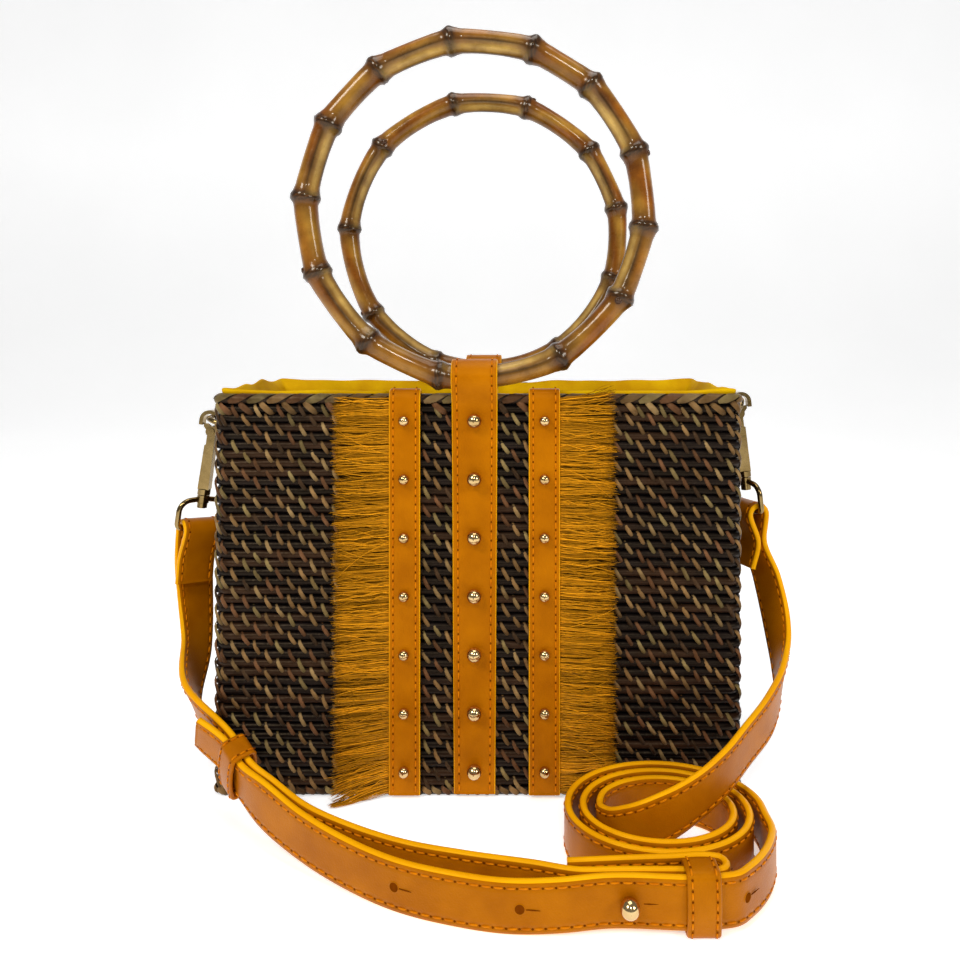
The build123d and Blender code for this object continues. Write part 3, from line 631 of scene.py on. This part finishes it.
trim("front_strap", hanger_path(-1, 2, 166), TRIM_X, (19.6, 21.8), TRIM_GROOVE, 4.4)
trim("back_strap", hanger_path(1, 145, 166), TRIM_X, 21.0, TRIM_GROOVE, 4.4)
strip_path = [
    (-STRIP_Y, 2), (-STRIP_Y, 95), (-STRIP_Y, 180), (-STRIP_Y, 187.5), (-51.3, 190.6), (-49.8, 192.2),
    (-47.9, 192.5), (-46.2, 191.4), (-45.3, 188.5), (-INSIDE_Y, 184), (-INSIDE_Y, 170),
]
for hand, side_x in (("left", TRIM_X - STRIP_OFFSET), ("right", TRIM_X + STRIP_OFFSET)):
    trim(hand + "_strip", strip_path, side_x, STRIP_WIDTH, STRIP_GROOVE, 4.0)

for hand, way in (("left", -1), ("right", 1)):
    pivot_x = 128.4
    path = [(125.9, 152.5), (125.9, 158), (125.9, 164), (125.9, 168)]
    for step in range(9):
        turn = radians(180 - 25 * step)
        path.append((pivot_x + 2.5 * cos(turn), 170 + 2.5 * sin(turn)))
    path += [(129.0, 166.8), (127.75, 164), (127.7, 158), (127.7, 153.5)]
    spots = [(way * x, 0, z) for x, z in path]
    run = smooth_run(spots, [BACKWARD] * len(spots), 0.8)
    sewn = sewn_band(hand + "_tab", run, 18.0, LEATHER, 2.4, 4.0)
    sewn.piece(hand + "_tab_stitches", [thread, hole_shade], finish="leather")

# ---- Fringes -----------------------------------------------------------------

THREADS = 2300
THREAD_STEPS = 7


def fringe(name, node, root_x, way):
    """Silky threads sewn in under the strip and brushed outwards."""
    root_z = np.sort(rng.uniform(2.6, 189.0, THREADS))
    down = 1 - root_z / HEIGHT
    clump = np.sin(root_z * 1.3) + np.sin(root_z * 0.71 + 2) + np.sin(root_z * 2.9 + 1)
    layer = rng.uniform(0, 1, THREADS)
    reach = 26.0 + rng.normal(0, 1.0, THREADS) + clump * 0.35
    t = np.linspace(0, 1, THREAD_STEPS)[None, :]
    if way < 0:
        droop = 0.3 + 1.2 * down + 6.0 * np.clip((down - 0.7) / 0.3, 0, 1) ** 2 + clump * 0.6
        flare = 9.0 * np.clip((down - 0.82) / 0.18, 0, 1) ** 1.5 + 1.2
    else:
        raised_top = 5.0 * np.clip((0.05 - down) / 0.05, 0, 1)
        raised_foot = 9.0 * np.clip((down - 0.86) / 0.14, 0, 1)
        droop = 0.8 - raised_top - raised_foot + clump * 0.5
        flare = np.full(THREADS, 1.5)
    droop = droop + rng.normal(0, 1.0, THREADS)
    stray = rng.uniform(0, 1, THREADS) > 0.90
    droop = droop + np.where(stray, rng.normal(0, 5, THREADS), 0)
    x = root_x + way * reach[:, None] * t
    wave = rng.normal(0, 0.55, (THREADS, 1)) * np.sin(t * rng.uniform(3, 12, (THREADS, 1)))
    z = root_z[:, None] - droop[:, None] * t**1.6 + wave
    z = np.maximum(z, 0.5 + rng.uniform(0, 1.2, (THREADS, 1)))
    lifted = layer[:, None] * 1.7 + np.sin(pi * t) * 0.7 * layer[:, None] + flare[:, None] * t**1.7
    y = -50.75 - lifted * (0.35 + 0.65 * np.minimum(1, t * 4))
    lines = np.stack([x, y, z], axis=-1)
    side = np.broadcast_to(BACKWARD, lines.shape)
    lift = np.broadcast_to(UPRIGHT, lines.shape)
    thin = np.array([0.20, 0.20, 0.19, 0.18, 0.17, 0.15, 0.06])
    points, quads = swept(lines, side, lift, round_section(thin, 3)[None])
    # Painted shade: threads lying deeper in the fringe are darker and the outer ones lighter, with a random
    # spread for each thread.
    layer_shade_and_spread = (0.10 + 1.05 * layer[:, None] ** 1.5) * rng.uniform(0.45, 1.4, (THREADS, 1))
    tone = np.array([0.62, 0.25, 0.006]) * layer_shade_and_spread
    tone = np.broadcast_to(tone[:, None, None, :], (THREADS, THREAD_STEPS, 3, 3)).reshape(-1, 3)
    heap = Heap()
    heap.add(points, quads.tolist(), tone)
    tape_x = root_x - way * 7.5
    tape_spots = [(tape_x, -50.5, z) for z in (2, 95, 188)]
    tape = smooth_run(tape_spots, [RIGHTWARD] * len(tape_spots), 6)
    leather_band(heap, tape, 12.0, 0.9, 3.0, tint=(0.25, 0.09, 0.004))
    heap.piece(name, [silk, silk], stands_for=[node], finish="fringe")


ROOT_REACH = STRIP_OFFSET + STRIP_WIDTH / 2 - 0.8
fringe("left_fringe_threads", "left_fringe", TRIM_X - ROOT_REACH, -1)
fringe("right_fringe_threads", "right_fringe", TRIM_X + ROOT_REACH, 1)

# ---- Bamboo rings ------------------------------------------------------------

FRONT_KNOTS = [-8.4, -35, -60, -86, -112, -141, -168, 20, 43, 70, 96, 121, 150]
BACK_KNOTS = [-13, -49, -87, -125, -159, 18, 51, 78, 108, 146]
RING_STEPS = 540
TUBE_SIDES = 22
LOOP_REACH = 14
FURROW_AT = 0.7
AMBER = np.array([0.23, 0.075, 0.004])
STRAW = np.array([0.46, 0.25, 0.035])
SCORCH = np.array([0.085, 0.026, 0.005])
CHAR = np.array([0.014, 0.007, 0.004])
BARK = np.array([0.11, 0.045, 0.012])
PITH = np.array([0.62, 0.44, 0.13])


def bamboo(name, node, body, y, knots):
    """A cane bent to a ring, with swollen burnt knots and a furrow."""
    knots = np.sort(np.array(knots) % 360)
    turn = np.arange(RING_STEPS) * 360 / RING_STEPS
    apart = (turn[:, None] - knots[None, :] + 180) % 360 - 180
    nearest = np.argmin(np.abs(apart), axis=1)
    gap = apart[np.arange(RING_STEPS), nearest] * pi / 180 * RING_MAJOR
    cell = np.searchsorted(knots, turn) % len(knots)
    start = knots[(cell - 1) % len(knots)]
    span = (knots[cell] - start) % 360
    within = ((turn - start) % 360) / span
    swell = 0.75 * np.exp(-((gap / 2.3) ** 4)) + 0.35 * np.exp(-(((gap - 3.4) / 1.4) ** 2))
    neck = 0.2 * np.exp(-(((np.abs(gap) - 4.2) / 2.4) ** 2))
    thick = 5.45 + 1.05 * np.abs(2 * within - 1) ** 3 + swell - neck
    loop = np.abs(turn - 180) * pi / 180 * RING_MAJOR < LOOP_REACH
    thick = np.where(loop, np.minimum(thick, 6.2), thick)
    sides = np.arange(TUBE_SIDES) * 2 * pi / TUBE_SIDES
    off_furrow = (sides + FURROW_AT + pi) % (2 * pi) - pi
    inner = np.exp(-((off_furrow / 0.38) ** 2))
    lip = np.exp(-(((np.abs(off_furrow) - 0.75) / 0.25) ** 2))
    furrow = np.where(cell % 2 == 0, np.sin(pi * np.clip(within, 0, 1)) ** 0.5, 0)
    radius = thick[:, None] - 1.5 * furrow[:, None] * inner[None, :]
    lump = rng.normal(0, 0.05, (RING_STEPS, TUBE_SIDES)) * np.exp(-((gap / 2.5) ** 2))[:, None]
    radius = radius + lump * 3
    angle = np.radians(turn)
    bow = RING_MAJOR + 0.4 - 1.1 * np.sin(pi * within)
    away = np.stack([np.sin(angle), np.zeros(RING_STEPS), np.cos(angle)], axis=-1)
    line = np.array([TRIM_X, y, RING_Z]) + away * bow[:, None]
    section = np.stack([-radius * np.cos(sides), radius * np.sin(sides)], axis=-1)[None]
    lift = np.broadcast_to(BACKWARD, away.shape)
    points, quads = swept(line[None], away[None], lift[None], section, ring=True)
    streak = np.zeros((RING_STEPS, TUBE_SIDES))
    for _ in range(7):
        count = rng.integers(2, 16)
        around = rng.integers(1, 5)
        streak += np.sin(count * angle[:, None] + around * sides[None, :] + rng.uniform(0, 6)) / 7
    mix = np.clip(0.42 + 1.1 * streak, 0, 1)[..., None]
    tone = AMBER + (STRAW - AMBER) * mix
    # Painted shade: the side of the tube that faces the ring's centre is darkened, broken up by the
    # streaks.
    inner_side_shade = np.clip(0.5 + 0.5 * np.cos(sides[None, :]) + 0.5 * streak, 0, 1)[..., None]
    tone = tone * (1 - 0.35 * inner_side_shade)
    near_knot = np.exp(-((np.abs(gap) / 6.5) ** 2))[:, None]
    burn = np.clip(near_knot * (0.85 + 0.6 * streak), 0, 1)[..., None]
    tone = tone + (SCORCH - tone) * burn
    scale = 0.5 + 0.5 * np.sin(7 * sides[None, :] + 2.5 * gap[:, None] + 40 * angle[:, None])
    bark = CHAR + (BARK - CHAR) * (scale * rng.uniform(0.3, 1, scale.shape))[..., None]
    ring_line = np.exp(-((gap / 2.5) ** 6))[:, None, None]
    tone = tone + (bark - tone) * np.clip(ring_line, 0, 1)
    shade = (furrow[:, None] * lip[None, :])[..., None]
    tone = tone + (CHAR * 2 - tone) * np.clip(shade * 1.1, 0, 1) * 0.9
    pale = (furrow[:, None] * inner[None, :])[..., None]
    tone = tone + (PITH - tone) * pale * 0.9
    heap = Heap()
    heap.add(points, quads.tolist(), tone.reshape(-1, 3))
    for knot in knots[::2]:
        if abs(knot - 180) < LOOP_REACH:
            continue
        bud_turn = radians(knot + 1.6)
        lean = radians(rng.choice([200, 160, 270, 90]))
        out = np.array([sin(bud_turn), 0, cos(bud_turn)])
        tip = out * -cos(lean) + BACKWARD * sin(lean)
        along = np.array([cos(bud_turn), 0, -sin(bud_turn)])
        middle = np.array([TRIM_X, y, RING_Z]) + out * RING_MAJOR
        path = np.stack([middle + tip * h + along * h * 0.08 for h in (5.2, 6.6, 7.0, 7.2)])
        side = np.broadcast_to(along, path.shape)
        other = np.broadcast_to(np.cross(tip, along), path.shape)
        section = round_section(np.array([2.0, 1.7, 1.1, 0.1]), ROD_SIDES)[None]
        points, quads = swept(path[None], side[None], other[None], section)
        heap.add(points, quads.tolist(), (0.05, 0.02, 0.01))
    heap.piece(name, [lacquer], body=body, stands_for=[node], finish="bamboo")


bamboo("front_ring_bamboo", "front_ring", "front_ring", -RING_Y, FRONT_KNOTS)
bamboo("back_ring_bamboo", "back_ring", "back_ring", RING_Y, BACK_KNOTS)

# ---- Shoulder strap ----------------------------------------------------------

LEFT_FOOT = np.array([-151.55, -3, 116.539])
LEFT_UP = np.array([0.139173, 0, 0.990268])
RIGHT_FOOT = np.array([142.04, -3, 126.075])
RIGHT_UP = np.array([-0.104528, 0, 0.994522])


def clasp_stations(foot, up, turn, side, swing):
    """The strap's end: its sewn-down tab, round the loop's bar and down."""
    level = np.array([side * cos(turn), -sin(turn), 0])
    bar = unit(level - up * level.dot(up))
    away = np.cross(bar, up)
    away = away if away[0] * side > 0 else -away
    centre = foot - up * 1.7
    layer = 1.8
    found = [(centre - away * (layer + swing) - up * 27, bar), (centre - away * layer - up * 14, bar)]
    for step in range(9):
        angle = radians(205 - step * 28.75)
        found.append((centre + (away * cos(angle) + up * sin(angle)) * 5.0, bar))
    found.append((centre + away * layer - up * 14, bar))
    return found


def edge_station(edge, across):
    """A station given by its upper edge and the way across the strap."""
    across = unit(across)
    return (np.array(edge, dtype=float) - across * STRAP_HALF, across)


FOLD_X = 93.3
FOLD_RADIUS = 3.9
KEEPER_Z = 12.1
FLOOR_KEEPER = np.array([86.5, -133.8, KEEPER_Z])
TAIL_Y = FLOOR_KEEPER[1] - LAYER_PITCH / 2
INNER_Y = FLOOR_KEEPER[1] + LAYER_PITCH / 2
RISING_KEEPER = np.array([-106.0, -72.0, 26.2])
RISING_ALONG = unit([30.5, -29.0, -15.1])
RISING_ACROSS = np.array([-0.05, -0.15, 0.98])
RISING_ACROSS = unit(RISING_ACROSS - RISING_ALONG * RISING_ACROSS.dot(RISING_ALONG))
RISING_OUT = np.cross(RISING_ACROSS, RISING_ALONG)
RISING_OUT = RISING_OUT if RISING_OUT[1] < 0 else -RISING_OUT
REACH = RISING_ALONG * 8.25
INNER_SEAT = RISING_KEEPER - RISING_OUT * LAYER_PITCH / 2
TAIL_SEAT = RISING_KEEPER + RISING_OUT * LAYER_PITCH / 2

short = clasp_stations(LEFT_FOOT, LEFT_UP, radians(45), -1, 1.5)
short += [
    edge_station((-161.2, -8, 86), (-0.66, -0.72, 0.2)),
    edge_station((-153, -21, 66.5), (-0.5, -0.65, 0.57)),
    edge_station((-141.3, -46.4, 54), (-0.24, -0.4, 0.88)),
    (INNER_SEAT - REACH, RISING_ACROSS),
    (INNER_SEAT + REACH, RISING_ACROSS),
]
for x, y, z in (
    (-88, -83.5, 18.6), (-69, -96, 14.2), (-48, -105, 11.3), (-26, -113, 10), (0, -120, 10),
    (25, -126, 10.6), (43, INNER_Y + 0.6, 11.5), (53, INNER_Y, KEEPER_Z), (89.5, INNER_Y, KEEPER_Z),
):
    short.append((np.array([x, y, z]), UPRIGHT))
for step in range(7):
    angle = radians(-90 + 30 * step)
    spot = np.array([FOLD_X + FOLD_RADIUS * cos(angle), INNER_Y + FOLD_RADIUS * (1 + sin(angle)), KEEPER_Z])
    short.append((spot, UPRIGHT))
short.append((np.array([76.5, INNER_Y + 7.8, 11.7]), UPRIGHT))
short.append((np.array([38, INNER_Y + 7.2, 10.6]), UPRIGHT))

long = clasp_stations(RIGHT_FOOT, RIGHT_UP, radians(72), 1, 5.0)
for edge, across in (
    ((154, -19, 93), (0.42, -0.88, 0.2)), ((155.5, -27, 77), (0.38, -0.75, 0.55)),
    ((152, -36, 66.5), (0.2, -0.55, 0.8)), ((145, -48, 60), (0, -0.38, 0.92)),
    ((133.7, -62, 53.8), (-0.15, -0.22, 0.96)), ((118.7, -78, 48), (-0.1, -0.15, 0.98)),
    ((106.7, -90, 43.5), (-0.05, -0.1, 0.99)), ((94, -98, 38.2), (0, -0.05, 1)),
    ((80.7, -102, 33), (0, 0, 1)), ((67, -101, 26.5), (0, 0, 1)),
    ((58.5, -96, 22), (0, 0, 1)), ((54.2, -88.5, 20), (0, 0, 1)),
):
    long.append(edge_station(edge, across))
COIL_CENTRE = (80, -89)
for angle in range(960, 79, -20):
    turns = angle / 360
    bend = radians(angle)
    x = COIL_CENTRE[0] + (44.5 - 6.5 * turns) * sin(bend)
    y = COIL_CENTRE[1] - (36 - 6 * turns) * cos(bend)
    long.append((np.array([x, y, 10.0]), UPRIGHT))
for x, y, z in (
    (122.2, -103.5, 10), (118.6, -112.5, 10.3), (112.8, -121.5, 10.9), (106, -129, 11.5),
    (99.5, -134.4, KEEPER_Z), (93.5, TAIL_Y, KEEPER_Z), (50, TAIL_Y, KEEPER_Z),
    (35, TAIL_Y - 0.8, 11.2), (16, -135.2, 10),
    (-6, -131, 10), (-27, -124, 10), (-49, -113.5, 11.5), (-71, -101, 15), (-90, -88, 19.8),
):
    long.append((np.array([x, y, z]), UPRIGHT))
long += [
    (TAIL_SEAT + REACH, RISING_ACROSS),
    (TAIL_SEAT - REACH, RISING_ACROSS),
    (np.array([-128, -61.5, 36.5]), np.array([-0.16, -0.28, 0.93])),
]


def strap(node, stations):
    """One half of the strap and its stitching."""
    run = smooth_run([spot for spot, across in stations], [across for spot, across in stations], 1.8)
    sewn = sewn_band(node, run, STRAP_WIDTH, STRAP_THICK, STRAP_GROOVE, 4.7)
    sewn.piece(node + "_band_stitches", [thread, hole_shade], finish="leather")
    return run


strap("short_strap", short)
long_run = strap("long_strap", long)


KEEPER_WIDTH = 12.5
KEEPER_GROOVE = 1.8
KEEPER_CORNER = 1.9


def keeper(node, middle, along, across):
    """A closed band round both layers."""
    wide = 10.3 + LEATHER / 2 - KEEPER_CORNER
    deep = 3.9 + LEATHER / 2 - KEEPER_CORNER
    out = np.cross(across, along)
    spots = []
    for quarter, (right, near) in enumerate([(1, 1), (-1, 1), (-1, -1), (1, -1)]):
        for step in range(5):
            turn = radians(90 * quarter + 22.5 * step)
            over = right * wide + KEEPER_CORNER * cos(turn)
            beyond = near * deep + KEEPER_CORNER * sin(turn)
            spots.append(middle + across * over + out * beyond)
    spots.append(spots[0])
    run = smooth_run(spots, [along] * len(spots), 0.8)
    trimmed = tuple(part[:-1] for part in run)
    band = Heap()
    leather_band(band, trimmed, KEEPER_WIDTH, LEATHER, KEEPER_GROOVE, ring=True)
    band.piece(node + "_band", [leather, leather], stands_for=[node], finish="leather")
    sewn = Heap()
    stitch_rows(sewn, run, KEEPER_WIDTH, LEATHER, KEEPER_GROOVE, 3.6, start=0.5, stop=2.0)
    sewn.piece(node + "_band_stitches", [thread, hole_shade], finish="leather")


keeper("floor_keeper", FLOOR_KEEPER, RIGHTWARD, UPRIGHT)
keeper("rising_keeper", RISING_KEEPER, RISING_ALONG, RISING_ACROSS)

# Fastening holes in the tail: a raised lip, a dark disc of painted shade for the hole, and the slit beside
# it, a dark line of painted shade.
HOLE_SIDES = 18
eyelets = Heap()
for spot, facing, shown in (
    ((59.5, TAIL_Y, 12.6), (0, -1, 0), False),
    ((20, -135.4, 11.2), (-0.06, -1, 0), True),
    ((-27, -124, 11.2), (-0.4, -0.9, 0), True),
    ((102.5, -132.2, KEEPER_Z), (0.62, -0.78, 0), True),
):
    near = np.argmin(np.linalg.norm(long_run[0] - spot, axis=1))
    place = long_run[3][near] + (spot - long_run[0][near]) @ long_run[2][near]
    middle, wide, along = (part[0] for part in at(long_run, [place]))
    out = unit(np.cross(along, wide))
    out = out * np.sign(out @ facing)
    level = unit(np.cross(UPRIGHT, out))
    base = middle + out * STRAP_THICK / 2
    if shown:
        path = np.stack([base + out * h for h in (-0.3, 0.28, 0.14)])
        side = np.broadcast_to(level, path.shape)
        lift = np.broadcast_to(UPRIGHT, path.shape)
        section = round_section(np.array([2.5, 2.0, 1.75]), HOLE_SIDES)[None]
        points, quads = swept(path[None], side[None], lift[None], section)
        eyelets.add(points, quads.tolist(), kinds=0)
        path = np.stack([base + out * 0.18, base + out * 0.16])
        section = round_section(np.array([1.8, 0.01]), HOLE_SIDES)[None]
        points, quads = swept(path[None], side[None, :2], lift[None, :2], section)
        eyelets.add(points, quads.tolist(), kinds=1)
    away = 1 if shown else 4.2
    slit = np.stack([base + out * 0.1 + level * (away + d) for d in (1.2, 3.5, 6.5)])
    side = np.broadcast_to(UPRIGHT, slit.shape)
    lift = np.broadcast_to(out, slit.shape)
    section = round_section(np.array([0.14, 0.24, 0.10]), STITCH_SIDES)[None]
    points, quads = swept(slit[None], side[None], lift[None], section)
    eyelets.add(points, quads.tolist(), kinds=1)
eyelets.piece("strap_holes", [leather, hole_shade], finish="leather")

# ---- Metal parts of the CAD --------------------------------------------------

METAL = [
    "centre_studs", "left_studs", "right_studs", "back_rivet", "left_tab_rivet", "right_tab_rivet",
    "left_d_ring", "right_d_ring", "left_hook", "right_hook", "left_gate", "right_gate",
    "left_gate_pin", "right_gate_pin", "left_strap_loop", "right_strap_loop",
    "fastening_stud", "fastening_screw",
]
for node in METAL:
    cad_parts[node].data.materials.clear()
    # Hooks, gates, strap loops and D-rings get the darker gold of painted reflection; the studs, rivets and
    # fastening parts get plain gold.
    dark = any(word in node for word in ("hook", "gate", "loop", "d_ring"))
    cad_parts[node].data.materials.append(dark_reflection_gold if dark else gold)

# ---- Stage, lights and camera ------------------------------------------------


def lamp(name, place, target, size, power):
    """A soft square light that looks at the target."""
    data = bpy.data.lights.new(name, "AREA")
    data.size = size
    data.energy = power
    obj = bpy.data.objects.new(name, data)
    obj.location = place
    away = np.array(place) - np.array(target)
    flat = sqrt(away[0] ** 2 + away[1] ** 2)
    obj.rotation_euler = (np.arctan2(flat, away[2]), 0, np.arctan2(away[0], -away[1]))
    bpy.context.scene.collection.objects.link(obj)


lamp("key", (-0.55, -0.75, 0.85), (0, 0, 0.12), 0.30, 5.5)
lamp("fill", (0.75, -0.70, 0.55), (0, 0, 0.12), 0.25, 3.0)
lamp("top", (0.05, -0.10, 1.10), (0, 0, 0.12), 0.60, 3.5)
lamp("spot", (0.10, -0.95, 0.75), (0, 0, 0.15), 0.10, 2.0)

# The stage is in metres: a floor that curves up into a backdrop.
STAGE_REACH = 6.0
COVE_START = 1.2
COVE_RADIUS = 0.8
COVE_STEPS = 8
stage_mesh = bpy.data.meshes.new("floor_sheet")
stage_points = []
for x in (-STAGE_REACH, STAGE_REACH):
    stage_points += [(x, -2.0, 0), (x, COVE_START, 0)]
    for step in range(1, COVE_STEPS + 1):
        turn = pi / 2 * step / COVE_STEPS
        stage_points.append((x, COVE_START + COVE_RADIUS * sin(turn), COVE_RADIUS * (1 - cos(turn))))
    stage_points.append((x, 2.0, 3.0))
half = len(stage_points) // 2
stage_faces = [(k, k + 1, half + k + 1, half + k) for k in range(half - 1)]
stage_mesh.from_pydata(stage_points, [], stage_faces)
stage_mesh.polygons.foreach_set("use_smooth", [True] * (half - 1))
paper = finish(
    "paper", (0.88, 0.88, 0.88), (0.92, 0.92, 0.92), 3, 0.9, 40, 0.00001,
    Emission_Color=(1, 1, 1, 1), Emission_Strength=0.47,
)
stage_mesh.materials.append(paper)
stage_floor = bpy.data.objects.new("floor_sheet", stage_mesh)
bpy.context.scene.collection.objects.link(stage_floor)

world = bpy.data.worlds.new("studio")
world.use_nodes = True
sky = world.node_tree.nodes["Background"]
sky.inputs["Color"].default_value = (1, 1, 1, 1)
sky.inputs["Strength"].default_value = 0.24
bpy.context.scene.world = world
bpy.context.scene.view_settings.view_transform = "Standard"

camera = bpy.data.cameras.new("camera")
camera.lens = 29.25
camera.sensor_width = 36
camera.shift_x = -0.0417
camera.shift_y = -0.147
camera.clip_start = 0.01
view = bpy.data.objects.new("camera", camera)
view.location = (0.020, -0.420, 0.217)
view.rotation_euler = (radians(90), 0, 0)
bpy.context.scene.collection.objects.link(view)
bpy.context.scene.camera = view
